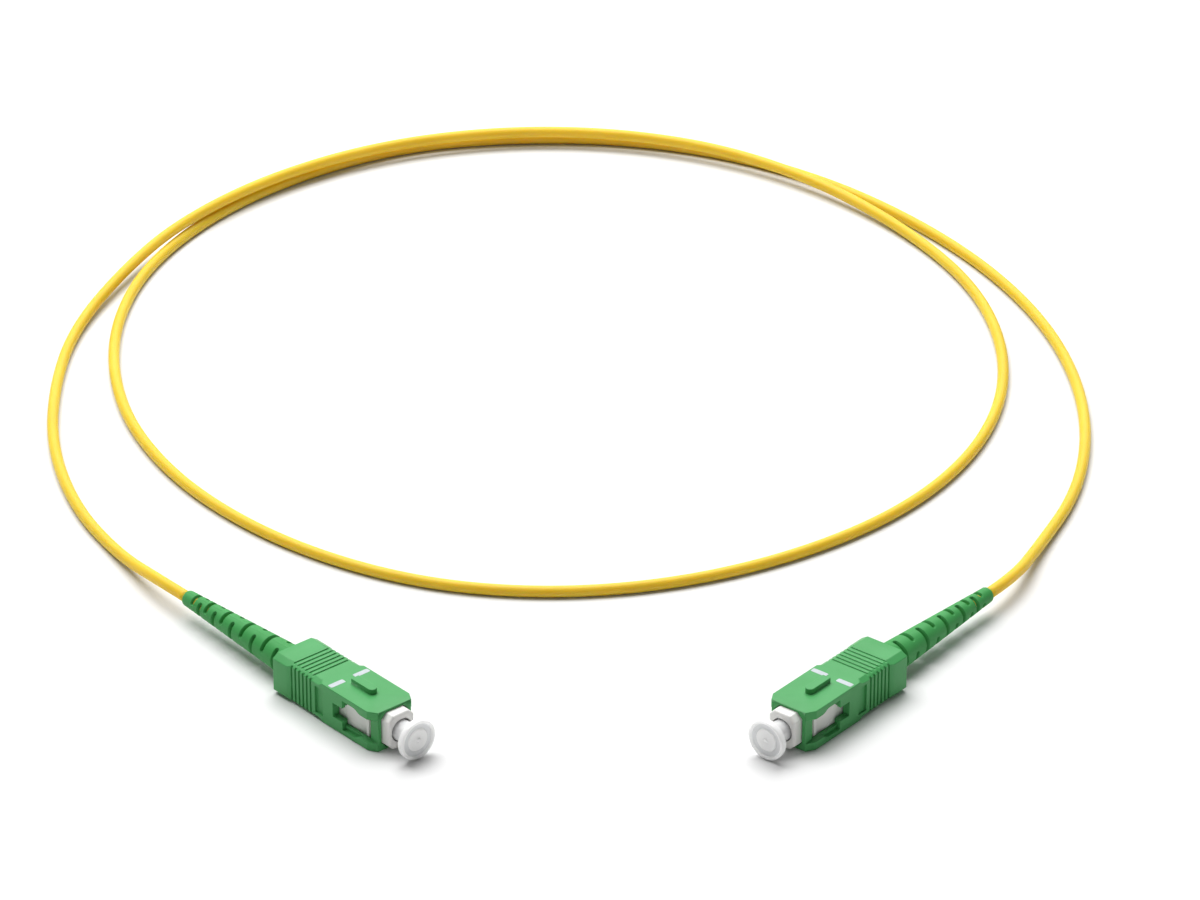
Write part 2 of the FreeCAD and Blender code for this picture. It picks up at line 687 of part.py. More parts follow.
def main():
    os.makedirs("parts", exist_ok=True)
    makers = {
        "grip_housing": grip_housing, "plug_frame": plug_frame, "ferrule": ferrule,
        "ferrule_flange": ferrule_flange, "fibre": fibre, "fibre_buffer": fibre_buffer,
        "ferrule_spring": ferrule_spring, "rear_body": rear_body, "aramid_yarn": aramid_yarn,
        "crimp_sleeve": crimp_sleeve, "jacket_end": jacket_end, "dust_cap": dust_cap,
    }
    pieces = {name: make() for name, make in makers.items()}
    for side, plug in PLUGS.items():
        for name, shape in pieces.items():
            save("%s_%s" % (side, name), place(shape, plug))
        save("%s_boot" % side, place(boot(plug["slots"]), plug))
    save("cord", cord())


main()
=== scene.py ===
"""Fiber optic patch cord: a slender yellow cord laid in a loop, with a green push-pull plug,
a slotted boot and a clear dust cap on each end."""
import json
import math
import bmesh
import bpy
import numpy as np
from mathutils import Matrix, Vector


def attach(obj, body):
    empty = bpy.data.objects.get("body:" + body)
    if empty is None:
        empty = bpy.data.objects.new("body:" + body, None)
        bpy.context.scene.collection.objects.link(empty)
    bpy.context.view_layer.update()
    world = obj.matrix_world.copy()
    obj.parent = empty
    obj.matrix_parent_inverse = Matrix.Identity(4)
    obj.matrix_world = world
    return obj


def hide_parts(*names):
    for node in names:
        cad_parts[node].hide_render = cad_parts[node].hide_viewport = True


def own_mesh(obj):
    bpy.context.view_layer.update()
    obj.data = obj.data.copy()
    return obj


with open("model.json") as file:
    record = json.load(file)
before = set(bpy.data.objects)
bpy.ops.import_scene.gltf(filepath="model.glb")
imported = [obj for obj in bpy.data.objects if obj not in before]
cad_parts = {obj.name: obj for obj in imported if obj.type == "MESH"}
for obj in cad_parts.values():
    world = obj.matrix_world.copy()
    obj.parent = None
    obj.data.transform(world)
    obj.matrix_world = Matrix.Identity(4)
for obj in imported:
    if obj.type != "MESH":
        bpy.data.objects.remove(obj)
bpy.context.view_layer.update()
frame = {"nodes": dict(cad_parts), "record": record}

SIDES = ("left", "right")

# Where each plug lies, as in the solids: front face of the housing in mm, heading in degrees,
# and the turn of its boot's slots in degrees
PLUGS = {"left": (-31.15, -18.0, -49.0, 9.5), "right": (32.35, -18.0, 230.8, 28.5)}

# Sizes of one plug in mm, in its own frame: x forward from the housing's front, y left, z up
# from the axis
AXIS_HEIGHT = 3.68
HOUSING_LENGTH = 25.7
CORD_RADIUS = 1.0

# Boot in mm, measured back from the housing's front: its hidden front, the step in its bore and
# its tip. Then its radii at both ends, a ring on its front face, its bore at the cord and at the
# crimp, and the round of its tip
BOOT_FRONT = 19.1
BOOT_STEP = 24.8
BOOT_TIP = 54.3
BOOT_RADIUS = 2.85
BOOT_TIP_RADIUS = 1.375
BOOT_FACE_RADIUS = 2.6
BOOT_BORE_RADIUS = 0.97
CRIMP_BORE_RADIUS = 1.86
BOOT_TIP_ROUND = 0.3

# Slots of the boot in mm: their width, the radius of their floor, the width of their eased edge,
# and how far behind the housing each ring of them lies. Their span round the boot is in degrees
SLOT_WIDTH = 0.8
SLOT_FLOOR_RADIUS = 0.985
SLOT_EDGE = 0.05
SLOT_SPAN = 136.0
SLOT_RINGS = (-0.2, 2.7, 5.9, 8.9, 11.9, 14.8, 17.5, 19.7, 22.0, 23.8, 25.7)

# Height and half width in mm of the ridge where the boot's mould parts
RIDGE_HEIGHT = 0.04
RIDGE_WIDTH = 0.08

# How far in mm the cord runs on straight behind each boot
EXIT_RUN = 7.5

# Half section of the dust cap in mm: x, radius, and how far its corner is rounded off
CAP_SECTION = [
    (4.5, 0.0, 0.0), (4.5, 1.28, 0.1), (-0.9, 1.28, 0.06), (-0.9, 1.85, 0.16),
    (4.9, 1.85, 0.2), (4.9, 3.5, 0.25), (6.1, 3.5, 0.25), (6.1, 3.0, 0.12),
    (5.75, 2.85, 0.1), (5.75, 2.05, 0.1), (5.95, 1.9, 0.08), (5.95, 0.45, 0.08),
    (6.15, 0.3, 0.08), (6.15, 0.0, 0.0),
]

# Painted light on the dust cap in mm. Painted shade on the neck's outside: where the neck ends
# and how far from the axis its outside begins. Then the ring of painted cool reflection in its
# front: the radius of its middle, half its width, the fade at its edges, and its strength, from 0
# to 1
CAP_NECK_END = 4.6
CAP_NECK_WALL = 1.5
CAP_RING_RADIUS = 2.45
CAP_RING_HALF = 0.45
CAP_RING_FADE = 0.1
CAP_RING_PAINTED_REFLECTION = 0.5

# Places along the housing in mm that tell its edges apart: just behind its front face, behind its
# front corners, the front of the grip, the rear end of its ribs, and the front of the rear block
FRONT_FACE = -0.02
CORNER_REAR = -1.7
GRIP_FRONT = -14.0
RIBS_REAR = -21.7
BLOCK_FRONT = -23.0

# The same across it, from its middle: inside its long edges, its front corners and its ribs, just
# beyond the key, and a radius between the rear block's bore and its outside
EDGE_SIDE = 3.3
CORNER_SIDE = 3.45
RIB_SIDE = 3.6
KEY_SIDE = 0.9
BLOCK_MIDDLE_RADIUS = 3.3

# The same in height: just under the top and bottom faces, just above the top face, and just under
# the key's flat top. The last is measured from the floor, the others from the axis
NEAR_TOP = 3.6
ABOVE_TOP = 3.7
KEY_TOP = 8.2

# Places on the plug frame in mm: the rear of the part that shows, the front of its nose, and a
# radius between its bore and its outside
NOSE_REAR = -2.6
NOSE_FRONT = 1.7
NOSE_MIDDLE_RADIUS = 2.3

# Widths in mm of the fullest eased edge on the housing and on the plug frame
HOUSING_EASE = 0.22
FRAME_EASE = 0.42

# Angles in degrees: faces that turn more than the first meet in an edge, and triangles that turn
# less than the second are one flat face
SHARP_ANGLE = 25.0
FLAT_ANGLE = 0.6

# Index marks on top of the housing in mm: x from and to, y from and to, how square their outline
# is, and their rings from foot to top, how far each is drawn in and its height over the top face
MARK_X = (-12.1, -11.05)
MARK_Y = (1.05, 4.1)
MARK_SQUARENESS = 9.0
MARK_RINGS = [(0.04, -0.04), (0.0, 0.006), (0.03, 0.016), (0.3, 0.018)]

# Tone of the studio paper, half its width in metres, and how bright the light from all round is
PAPER_TONE = 0.8
PAPER_HALF = 3.0
SKY_STRENGTH = 0.18

# Camera at the photograph's viewing angle: place in metres, tilt down in degrees, lens in mm
CAMERA_PLACE = (0.00197, -0.94281, 0.56706)
CAMERA_TILT = 28.994
CAMERA_LENS = 201.05

# Route of the cord's free stretch in metres, between the two points on each boot's axis
ROUTE = [
    (-0.0794, 0.0417, 0.0010),
    (-0.0879, 0.0577, 0.0010),
    (-0.0936, 0.0792, 0.0010),
    (-0.0948, 0.1012, 0.0010),
    (-0.0929, 0.1227, 0.0011),
    (-0.0856, 0.1429, 0.0022),
    (-0.0761, 0.1613, 0.0030),
    (-0.0605, 0.1796, 0.0031),
    (-0.0403, 0.1933, 0.0031),
    (-0.0179, 0.1997, 0.0031),
    (0.0046, 0.1992, 0.0031),
    (0.0259, 0.1922, 0.0030),
    (0.0443, 0.1791, 0.0022),
    (0.0598, 0.1609, 0.0011),
    (0.0702, 0.1402, 0.0010),
    (0.0744, 0.1177, 0.0010),
    (0.0730, 0.0955, 0.0010),
    (0.0658, 0.0744, 0.0010),
    (0.0529, 0.0558, 0.0010),
    (0.0346, 0.0411, 0.0010),
    (0.0136, 0.0317, 0.0010),
    (-0.0084, 0.0288, 0.0010),
    (-0.0300, 0.0328, 0.0010),
    (-0.0508, 0.0449, 0.0010),
    (-0.0681, 0.0631, 0.0010),
    (-0.0796, 0.0846, 0.0010),
    (-0.0849, 0.1067, 0.0010),
    (-0.0853, 0.1282, 0.0010),
    (-0.0807, 0.1493, 0.0010),
    (-0.0700, 0.1691, 0.0010),
    (-0.0542, 0.1857, 0.0010),
    (-0.0352, 0.1973, 0.0010),
    (-0.0144, 0.2013, 0.0010),
    (0.0067, 0.2005, 0.0010),
    (0.0271, 0.1941, 0.0010),
    (0.0453, 0.1819, 0.0010),
    (0.0599, 0.1667, 0.0010),
    (0.0724, 0.1486, 0.0010),
    (0.0817, 0.1278, 0.0010),
    (0.0866, 0.1062, 0.0010),
    (0.0874, 0.0842, 0.0010),
    (0.0840, 0.0628, 0.0010),
    (0.0761, 0.0434, 0.0013),
]


def plug_axes(side):
    """Origin and the two level axes of a plug's own frame, in mm."""
    x, y, heading, _ = PLUGS[side]
    a = math.radians(heading)
    forward = np.array([math.cos(a), math.sin(a), 0.0])
    left = np.array([-math.sin(a), math.cos(a), 0.0])
    return np.array([x, y, AXIS_HEIGHT]), forward, left


def from_plug(points, side):
    """Points of a plug's own frame, in mm, to the part's frame, in metres."""
    origin, forward, left = plug_axes(side)
    p = np.asarray(points, float)
    up = np.array([0.0, 0.0, 1.0])
    return (origin + p[:, :1] * forward + p[:, 1:2] * left + p[:, 2:3] * up) / 1000.0


def to_plug(points, side):
    """Points of the part's frame, in metres, to a plug's own frame, in mm."""
    origin, forward, left = plug_axes(side)
    q = np.asarray(points, float) * 1000.0 - origin
    return np.column_stack([q @ forward, q @ left, q[:, 2]])


def add_mesh(name, points, quads, triangles=None, uv=None, smooth=True):
    """Mesh object from points, four-cornered faces and triangles. The faces are turned round
    when their signed volume, the sum of a . (b x c) / 6 over all triangles, is negative."""
    points = np.asarray(points, float)
    quads = np.asarray(quads, int).reshape(-1, 4)
    triangles = np.zeros((0, 3), int) if triangles is None else np.asarray(triangles, int)
    fans = np.vstack([quads[:, [0, 1, 2]], quads[:, [0, 2, 3]], triangles])
    a, b, c = points[fans[:, 0]], points[fans[:, 1]], points[fans[:, 2]]
    if np.einsum("ij,ij->i", a, np.cross(b, c)).sum() < 0:
        quads = quads[:, ::-1]
        triangles = triangles[:, ::-1]
    mesh = bpy.data.meshes.new(name)
    mesh.from_pydata(points.tolist(), [], quads.tolist() + triangles.tolist())
    if uv is not None:
        layer = mesh.uv_layers.new(name="UVMap")
        loops = np.zeros(len(mesh.loops), dtype=np.int32)
        mesh.loops.foreach_get("vertex_index", loops)
        layer.data.foreach_set("uv", np.asarray(uv, float)[loops].ravel())
    mesh.polygons.foreach_set("use_smooth", np.full(len(mesh.polygons), smooth))
    mesh.update()
    piece = bpy.data.objects.new(name, mesh)
    bpy.context.scene.collection.objects.link(piece)
    return piece


def ring_quads(rows, columns, closed=False):
    """Quads between rows of closed rings; with closed, the last row joins the first."""
    i = np.arange(rows if closed else rows - 1)[:, None]
    j = np.arange(columns)[None, :]
    k = (j + 1) % columns
    n = (i + 1) % rows
    quads = np.stack([i * columns + j, i * columns + k, n * columns + k, n * columns + j],
                     axis=-1)
    return quads.reshape(-1, 4)


def pole_triangles(row_start, columns, pole):
    """Triangles from one ring of points to a single point."""
    j = np.arange(columns)
    return np.column_stack([np.full(columns, pole), row_start + (j + 1) % columns,
                            row_start + j])


def rounded_section(corners, steps):
    """Section line with eased corners: corner p becomes the curve (1-u)^2 s + 2u(1-u) p + u^2 e,
    from s to e, the points that lie the easing distance before and after it."""
    p = np.array([c[:2] for c in corners], float)
    ease = np.array([c[2] for c in corners[1:-1]])[:, None]
    before = p[:-2] - p[1:-1]
    after = p[2:] - p[1:-1]
    start = p[1:-1] + before / np.linalg.norm(before, axis=1)[:, None] * ease
    end = p[1:-1] + after / np.linalg.norm(after, axis=1)[:, None] * ease
    u = np.linspace(0.0, 1.0, steps)[None, :, None]
    curve = ((1 - u) ** 2 * start[:, None] + 2 * u * (1 - u) * p[1:-1][:, None]
             + u ** 2 * end[:, None])
    return np.vstack([p[:1], curve.reshape(-1, 2), p[-1:]])


def cord_line():
    """The cord's centre line: a smooth NURBS curve with the route as its control points."""
    curve = bpy.data.curves.new("cord_line", "CURVE")
    curve.dimensions = "3D"
    curve.resolution_u = 12
    ends = []
    for side in SIDES:
        ends.append(from_plug([[-BOOT_TIP, 0, 0], [-BOOT_TIP - EXIT_RUN, 0, 0]], side))
    points = np.vstack([ends[0], np.array(ROUTE), ends[1][::-1]])
    spline = curve.splines.new("NURBS")
    spline.points.add(len(points) - 1)
    weights = np.ones((len(points), 1))
    spline.points.foreach_set("co", np.hstack([points, weights]).ravel())
    spline.order_u = 3
    spline.use_endpoint_u = True
    holder = bpy.data.objects.new("cord_line", curve)
    bpy.context.scene.collection.objects.link(holder)
    bpy.context.view_layer.update()
    flat = bpy.data.meshes.new_from_object(holder)
    line = np.zeros(len(flat.vertices) * 3)
    flat.vertices.foreach_get("co", line)
    bpy.data.objects.remove(holder)
    return line.reshape(-1, 3)


def cord_tube(name, line, radius, columns):
    """Tube round a line: each point p gives the ring p + r (cos a * side + sin a * up), where
    side is the level direction square to the line. The rings close to a centre at both ends.
    Its UV is the turn round the cord and the millimetres along it."""
    ahead = np.gradient(line, axis=0)
    ahead /= np.linalg.norm(ahead, axis=1)[:, None]
    side = np.cross(ahead, [0.0, 0.0, 1.0])
    side /= np.linalg.norm(side, axis=1)[:, None]
    up = np.cross(side, ahead)
    a = np.linspace(0.0, 2.0 * math.pi, columns, endpoint=False)[None, :, None]
    rings = line[:, None] + radius * (np.cos(a) * side[:, None] + np.sin(a) * up[:, None])
    rows = len(line)
    points = np.vstack([rings.reshape(-1, 3), line[:1], line[-1:]])
    first = rows * columns
    triangles = np.vstack([pole_triangles(0, columns, first),
                           pole_triangles((rows - 1) * columns, columns, first + 1)[:, ::-1]])
    along = np.concatenate([[0.0], np.cumsum(np.linalg.norm(np.diff(line, axis=0), axis=1))])
    u = np.tile(np.abs(np.linspace(-1.0, 1.0, columns, endpoint=False)), rows)
    v = np.repeat(along * 1000.0, columns)
    uv = np.vstack([np.column_stack([u, v]), [[0.5, 0.0], [0.5, along[-1] * 1000.0]]])
    return add_mesh(name, points, ring_quads(rows, columns), triangles, uv)


def turned_piece(name, side, section, columns):
    """Piece turned about the plug's axis: the section's point (x, r) at angle a becomes
    (x, r cos a, r sin a). The section runs from axis to axis and ends in a pole each way."""
    a = np.linspace(0.0, 2.0 * math.pi, columns, endpoint=False)[None, :]
    body = section[1:-1]
    x = np.broadcast_to(body[:, :1], (len(body), columns))
    points = np.stack([x, body[:, 1:] * np.cos(a), body[:, 1:] * np.sin(a)], axis=-1)
    poles = [[section[0, 0], 0.0, 0.0], [section[-1, 0], 0.0, 0.0]]
    points = np.vstack([points.reshape(-1, 3), poles])
    first = len(body) * columns
    triangles = np.vstack([pole_triangles(0, columns, first),
                           pole_triangles(first - columns, columns, first + 1)[:, ::-1]])
    return add_mesh(name, from_plug(points, side), ring_quads(len(body), columns), triangles)


def boot_sleeve(name, side, columns):
    """Tapered boot as a surface of distance x behind the plug and angle a. Outside, its radius
    falls evenly from BOOT_RADIUS to BOOT_TIP_RADIUS. A slot is a round-ended band on the
    unrolled surface, all points nearer than half its width to its middle line, and there the
    radius drops to just under the jacket's, over a short eased edge. The fine ridge where the
    mould parts runs along the top and underside. The rings return along the bore, so the skin
    is closed."""
    turn = math.radians(PLUGS[side][3])
    half = SLOT_WIDTH / 2
    # Rings of points lie close together at each slot, and evenly over the boot's length
    near = np.array([-1.15, -1.0, -0.85, -0.7, -0.5, -0.25, 0.0, 0.25, 0.5, 0.7, 0.85, 1.0, 1.15])
    near = np.concatenate([near * half, [-half - 0.12, half + 0.12]])
    middles = HOUSING_LENGTH + np.array(SLOT_RINGS)
    lines = np.concatenate([(middles[:, None] + near[None, :]).ravel(),
                            np.linspace(BOOT_FRONT, BOOT_TIP - BOOT_TIP_ROUND, 72)])
    x = np.unique(np.round(lines, 3))
    x = x[(x >= BOOT_FRONT) & (x <= BOOT_TIP - BOOT_TIP_ROUND)]
    a = np.linspace(0.0, 2.0 * math.pi, columns, endpoint=False)
    fall = np.clip((x - HOUSING_LENGTH) / (BOOT_TIP - HOUSING_LENGTH), 0.0, 1.0)
    skin = (BOOT_RADIUS + (BOOT_TIP_RADIUS - BOOT_RADIUS) * fall)[:, None]
    ridge = np.abs(np.cos(a - turn))[None, :] * skin
    outer = skin + RIDGE_HEIGHT * np.exp(-(ridge / RIDGE_WIDTH) ** 2)
    cut = np.zeros((len(x), columns))
    for i, middle in enumerate(middles):
        centre = turn + (0.0 if i % 2 else math.pi / 2)
        off = np.abs((a - centre + math.pi / 2) % math.pi - math.pi / 2)[None, :] * skin
        reach = np.radians(SLOT_SPAN / 2) * skin - half
        distance = np.hypot((x - middle)[:, None], np.maximum(off - reach, 0.0)) - half
        t = np.clip(0.5 - distance / SLOT_EDGE, 0.0, 1.0)
        cut = np.maximum(cut, t * t * (3.0 - 2.0 * t))
    radius = outer * (1.0 - cut) + SLOT_FLOOR_RADIUS * cut
    rows = [np.column_stack([np.full(columns, -px), pr * np.cos(a), pr * np.sin(a)])
            for px, pr in zip(x, radius)]
    tip = rounded_section([(BOOT_TIP - BOOT_TIP_ROUND, BOOT_TIP_RADIUS, 0.0),
                           (BOOT_TIP, BOOT_TIP_RADIUS, BOOT_TIP_ROUND),
                           (BOOT_TIP, BOOT_BORE_RADIUS, 0.0)], 6)[2:]
    bore = [(BOOT_TIP - 5.0, BOOT_BORE_RADIUS), (BOOT_STEP, BOOT_BORE_RADIUS),
            (BOOT_STEP - 0.03, CRIMP_BORE_RADIUS), (BOOT_FRONT, CRIMP_BORE_RADIUS),
            (BOOT_FRONT, BOOT_FACE_RADIUS)]
    inside = np.vstack([tip, bore])
    rows += [np.column_stack([np.full(columns, -px), pr * np.cos(a), pr * np.sin(a)])
             for px, pr in inside]
    points = np.vstack(rows)
    return add_mesh(name, from_plug(points, side), ring_quads(len(rows), columns, True))


def sharp_edges(mesh):
    """For each edge, whether its two faces turn by more than SHARP_ANGLE: the sum of their
    normals is then shorter than 2 cos(SHARP_ANGLE / 2)."""
    faces = len(mesh.polygons)
    normals = np.zeros(faces * 3)
    mesh.polygons.foreach_get("normal", normals)
    normals = normals.reshape(-1, 3)
    sizes = np.zeros(faces, dtype=np.int32)
    mesh.polygons.foreach_get("loop_total", sizes)
    owner = np.repeat(np.arange(faces), sizes)
    edge_of = np.zeros(len(mesh.loops), dtype=np.int32)
    mesh.loops.foreach_get("edge_index", edge_of)
    order = np.argsort(edge_of, kind="stable")
    total = np.zeros((len(mesh.edges), 3))
    np.add.at(total, edge_of[order], normals[owner[order]])
    return np.linalg.norm(total, axis=1) < 2.0 * math.cos(math.radians(SHARP_ANGLE / 2))


def eased_copy(name, side, node, rounding, width):
    """Copy of a moulded solid with its points joined and its triangles paired. Each edge is
    eased by a Bevel whose weight is rounding(x, y, z), from the edge's middle, and the shading
    follows the larger faces, so flat walls stay flat."""
    mesh = frame["nodes"][node].data.copy()
    mesh.name = name
    joined = bmesh.new()
    joined.from_mesh(mesh)
    bmesh.ops.remove_doubles(joined, verts=joined.verts, dist=2e-6)
    bmesh.ops.join_triangles(joined, faces=joined.faces, cmp_seam=False, cmp_sharp=False,
                             cmp_uvs=False, cmp_vcols=False, cmp_materials=False,
                             angle_face_threshold=math.radians(FLAT_ANGLE),
                             angle_shape_threshold=math.radians(180.0))
    # The key's flat top becomes one face
    top = [e for e in joined.edges if min(v.co.z for v in e.verts) > KEY_TOP / 1000.0]
    flat = [e for e in top if len(e.link_faces) == 2
            and e.calc_face_angle(1.0) < math.radians(FLAT_ANGLE)]
    bmesh.ops.dissolve_edges(joined, use_verts=False, use_face_split=False, edges=flat)
    joined.to_mesh(mesh)
    joined.free()
    mesh.update()
    ends = np.zeros(len(mesh.edges) * 2, dtype=np.int32)
    mesh.edges.foreach_get("vertices", ends)
    points = np.zeros(len(mesh.vertices) * 3)
    mesh.vertices.foreach_get("co", points)
    points = points.reshape(-1, 3)
    middle = to_plug((points[ends[0::2]] + points[ends[1::2]]) / 2.0, side)
    weight = mesh.attributes.new("bevel_weight_edge", "FLOAT", "EDGE")
    turned = sharp_edges(mesh)
    amount = np.where(turned, rounding(*middle.T), 0.0)
    weight.data.foreach_set("value", amount)
    crease = mesh.attributes.get("sharp_edge")
    if crease is None:
        crease = mesh.attributes.new("sharp_edge", "BOOLEAN", "EDGE")
    crease.data.foreach_set("value", turned & (amount == 0.0))
    mesh.polygons.foreach_set("use_smooth", np.full(len(mesh.polygons), True))
    mesh.update()
    piece = bpy.data.objects.new(name, mesh)
    bpy.context.scene.collection.objects.link(piece)
    ease = piece.modifiers.new("eased_edges", "BEVEL")
    ease.width = width / 1000.0
    ease.segments = 3
    ease.limit_method = "WEIGHT"
    ease.use_clamp_overlap = False
    even = piece.modifiers.new("even_shading", "WEIGHTED_NORMAL")
    even.mode = "FACE_AREA"
    even.keep_sharp = True
    return piece


def housing_rounding(x, y, z):
    """Bevel weights of the housing: full round the front and along the plain half, less on the
    front's upright corners, the key and the rear block, little at the ribs and windows, none at
    the key's foot."""
    side = np.abs(y)
    height = np.abs(z)
    outline = (height > NEAR_TOP) & (z < ABOVE_TOP)
    weight = np.full(len(x), 0.2)
    weight[(x > GRIP_FRONT) & outline & (side > EDGE_SIDE)] = 1.0
    weight[(x > FRONT_FACE) & outline] = 1.0
    weight[(x > CORNER_REAR) & (side > CORNER_SIDE) & (height < NEAR_TOP)] = 0.5
    weight[z > ABOVE_TOP] = 0.5
    weight[(x < BLOCK_FRONT) & (np.hypot(y, z) > BLOCK_MIDDLE_RADIUS)] = 0.7
    weight[(x < GRIP_FRONT) & (x > RIBS_REAR) & (side > RIB_SIDE)] = 0.25
    weight[(np.abs(z - AXIS_HEIGHT) < 0.03) & (side < KEY_SIDE)] = 0.0
    return weight


def frame_rounding(x, y, z):
    """Bevel weights of the plug frame: fuller on the nose that stands out of the housing."""
    outside = np.hypot(y, z) > NOSE_MIDDLE_RADIUS
    weight = np.full(len(x), 0.06)
    weight[(x > NOSE_REAR) & outside] = 0.35
    weight[(x > NOSE_FRONT) & outside] = 1.0
    weight[(x > NOSE_FRONT) & ~outside] = 0.25
    return weight


def spring_copy(name, side):
    """Copy of the ferrule's spring with its points joined, which is pressed together along the
    plug, towards the rear body, as the ferrule is pushed back."""
    mesh = frame["nodes"][side + "_ferrule_spring"].data.copy()
    mesh.name = name
    joined = bmesh.new()
    joined.from_mesh(mesh)
    bmesh.ops.remove_doubles(joined, verts=joined.verts, dist=1e-7)
    joined.to_mesh(mesh)
    joined.free()
    piece = bpy.data.objects.new(name, mesh)
    bpy.context.scene.collection.objects.link(piece)
    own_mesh(piece)
    return piece


def index_mark(name, side, hand, columns):
    """Painted bar on the housing's top: rings that follow a square with eased corners,
    x^n + y^n = 1 with n = MARK_SQUARENESS, closed to a point above and below."""
    a = np.linspace(0.0, 2.0 * math.pi, columns, endpoint=False)
    c, s = np.cos(a), np.sin(a)
    n = MARK_SQUARENESS
    reach = (np.abs(c) ** n + np.abs(s) ** n) ** (-1.0 / n)
    cx = sum(MARK_X) / 2
    cy = hand * sum(MARK_Y) / 2
    hx = (MARK_X[1] - MARK_X[0]) / 2
    hy = (MARK_Y[1] - MARK_Y[0]) / 2
    rings = [(inset, AXIS_HEIGHT + lift) for inset, lift in MARK_RINGS]
    rows = [np.column_stack([cx + (hx - inset) * reach * c, cy + (hy - inset) * reach * s,
                             np.full(columns, height)]) for inset, height in rings]
    points = np.vstack(rows + [[[cx, cy, rings[0][1]], [cx, cy, rings[-1][1]]]])
    first = len(rings) * columns
    triangles = np.vstack([pole_triangles(0, columns, first),
                           pole_triangles(first - columns, columns, first + 1)[:, ::-1]])
    return add_mesh(name, from_plug(points, side), ring_quads(len(rings), columns), triangles)


def mark_painted_light(cap, side):
    """Point attribute of the cap that carries its painted light: 1 on the outside of its neck,
    for painted shade, and up to the ring's set strength in the ring round its front, for a
    painted cool reflection, falling off evenly at the ring's edges."""
    local = to_plug(np.array([v.co for v in cap.data.vertices]), side)
    x = local[:, 0]
    reach = np.hypot(local[:, 1], local[:, 2])
    inside = (CAP_RING_HALF - np.abs(reach - CAP_RING_RADIUS)) / CAP_RING_FADE
    ring = np.clip(inside, 0.0, CAP_RING_PAINTED_REFLECTION) * (x > CAP_NECK_END)
    painted_light = np.where((x < CAP_NECK_END) & (reach > CAP_NECK_WALL), 1.0, ring)
    cap.data.attributes.new("painted_light", "FLOAT", "POINT").data.foreach_set("value", painted_light)


def material_base(name):
    """New material, with its nodes, links and shader and a node for the place on the piece."""
    material = bpy.data.materials.new(name)
    material.use_nodes = True
    nodes = material.node_tree.nodes
    links = material.node_tree.links
    shader = nodes["Principled BSDF"]
    place = nodes.new("ShaderNodeTexCoord")
    return material, nodes, links, shader, place


def clouds(nodes, links, vector, scale, detail, roughness=0.5):
    """Noise pattern with the given number of features in one unit of the vector."""
    noise = nodes.new("ShaderNodeTexNoise")
    noise.inputs["Scale"].default_value = scale
    noise.inputs["Detail"].default_value = detail
    noise.inputs["Roughness"].default_value = roughness
    links.new(vector, noise.inputs["Vector"])
    return noise.outputs["Fac"]


def spread(nodes, links, factor, low, high):
    """Turns a noise value between 0.3 and 0.7 into one between low and high."""
    span = nodes.new("ShaderNodeMapRange")
    span.inputs["From Min"].default_value = 0.3
    span.inputs["From Max"].default_value = 0.7
    span.inputs["To Min"].default_value = low
    span.inputs["To Max"].default_value = high
    links.new(factor, span.inputs["Value"])
    return span.outputs["Result"]


def tint(nodes, links, factor, dark, light):
    """Blend between two near colours by a value from 0 to 1."""
    mix = nodes.new("ShaderNodeMix")
    mix.data_type = "RGBA"
    mix.inputs["A"].default_value = (*dark, 1.0)
    mix.inputs["B"].default_value = (*light, 1.0)
    links.new(factor, mix.inputs["Factor"])
    return mix.outputs["Result"]


def grain(nodes, links, shader, height, strength, distance):
    """Bump from a height pattern, whose full height is the distance in metres."""
    bump = nodes.new("ShaderNodeBump")
    bump.inputs["Strength"].default_value = strength
    bump.inputs["Distance"].default_value = distance
    links.new(height, bump.inputs["Height"])
    links.new(bump.outputs["Normal"], shader.inputs["Normal"])


def moulded(name, dark, light, rough, cloud_mm, grain_mm, strength):
    """Moulded plastic: faint flow clouds in its colour, patches of more and less gloss, and the
    fine spark-eroded grain of its mould. Clouds and grain have the given sizes in mm."""
    material, nodes, links, shader, place = material_base(name)
    at = place.outputs["Object"]
    flow = clouds(nodes, links, at, scale=1000.0 / cloud_mm, detail=3.0)
    fine = clouds(nodes, links, at, scale=1000.0 / grain_mm, detail=4.0, roughness=0.6)
    tone = spread(nodes, links, flow, low=0.0, high=1.0)
    links.new(tint(nodes, links, tone, dark, light), shader.inputs["Base Color"])
    links.new(spread(nodes, links, fine, *rough), shader.inputs["Roughness"])
    grain(nodes, links, shader, fine, strength=strength, distance=0.00002)
    return material, shader


def jacket_yellow():
    """Extruded jacket: a fine skin, and faint lines along the cord. The lines follow the cord's
    UV, the turn round it and the millimetres along it."""
    material, nodes, links, shader, place = material_base("jacket_yellow")
    at = place.outputs["Object"]
    lines = nodes.new("ShaderNodeMapping")
    lines.inputs["Scale"].default_value = (26.0, 0.35, 1.0)
    links.new(place.outputs["UV"], lines.inputs["Vector"])
    drawn = clouds(nodes, links, lines.outputs["Vector"], scale=1.0, detail=2.0)
    skin = clouds(nodes, links, at, scale=2600.0, detail=3.0, roughness=0.6)
    slow = clouds(nodes, links, at, scale=60.0, detail=2.0)
    tone = spread(nodes, links, slow, low=0.0, high=1.0)
    links.new(tint(nodes, links, tone, dark=(0.715, 0.505, 0.029), light=(0.765, 0.55, 0.041)),
              shader.inputs["Base Color"])
    links.new(spread(nodes, links, skin, low=0.42, high=0.54), shader.inputs["Roughness"])
    both = nodes.new("ShaderNodeMath")
    both.operation = "ADD"
    links.new(drawn, both.inputs[0])
    links.new(skin, both.inputs[1])
    grain(nodes, links, shader, both.outputs[0], strength=0.06, distance=0.00003)
    shader.inputs["Specular IOR Level"].default_value = 0.3
    shader.inputs["Subsurface Weight"].default_value = 1.0
    shader.inputs["Subsurface Radius"].default_value = (1.0, 0.85, 0.15)
    shader.inputs["Subsurface Scale"].default_value = 0.002
    return material


